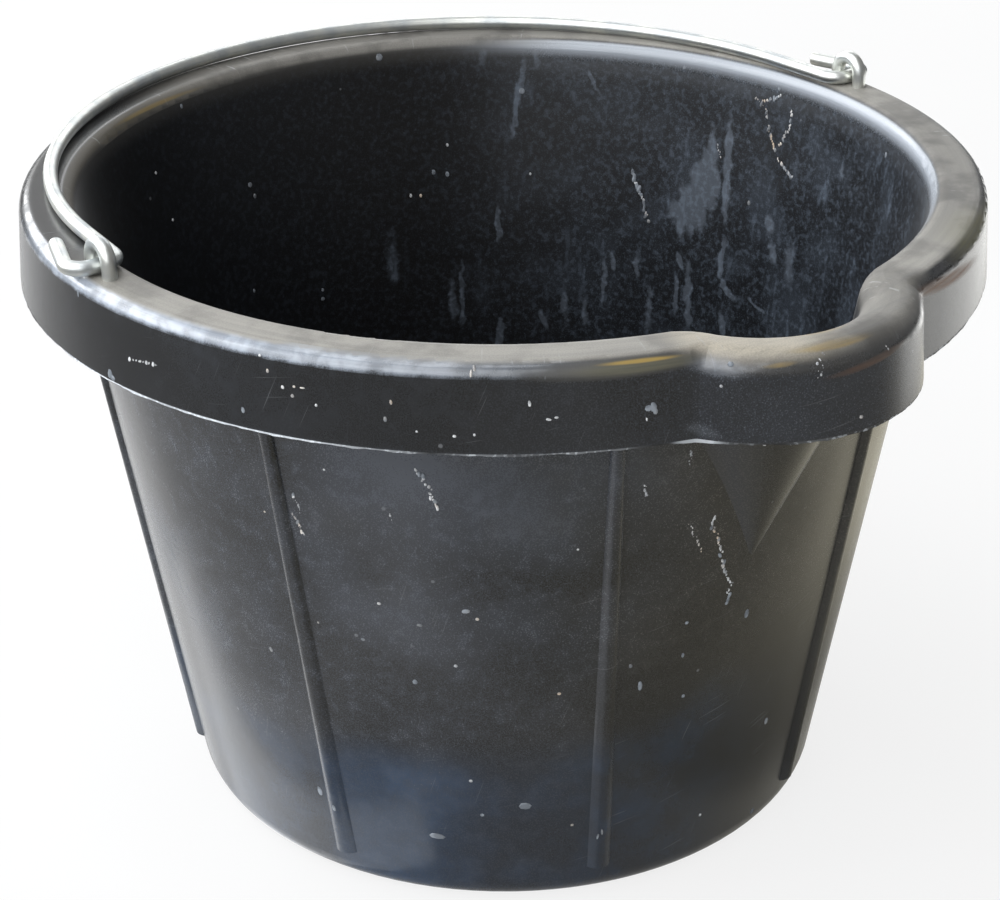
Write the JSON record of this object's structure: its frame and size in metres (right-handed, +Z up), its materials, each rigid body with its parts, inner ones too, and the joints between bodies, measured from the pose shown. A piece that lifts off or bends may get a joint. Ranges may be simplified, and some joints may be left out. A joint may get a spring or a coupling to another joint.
{
  "type": "builders bucket",
  "caption": "Black rubber builder's bucket with a pouring lip, ribbed wall, turned-down rim and a loose wire bail handle.",
  "frame": {"origin": "middle of the base's underside, on the surface that the bucket stands on", "axes": "+Z up along the bucket's axis, -Y towards the pouring lip, +X towards the right staple with the lip in front"},
  "size_m": [0.372, 0.3879, 0.2637],
  "materials": {
    "rubber": "satin black, scuffed and dusty on the rim, with dried mortar splashes",
    "galvanised_wire": "bright galvanised wire, slightly dulled"
  },
  "bodies": {
    "bucket": {"bucket_body": "rubber", "left_handle_staple": "galvanised_wire", "right_handle_staple": "galvanised_wire"},
    "handle": {"bail_handle": "galvanised_wire"}
  },
  "joints": [
    {"name": "handle_swing", "type": "hinge", "parent": "bucket", "child": "handle", "pos_m": [0, -0.005, 0.25305], "axis": [1, 0, 0], "range_deg": [0, 180]}
  ]
}
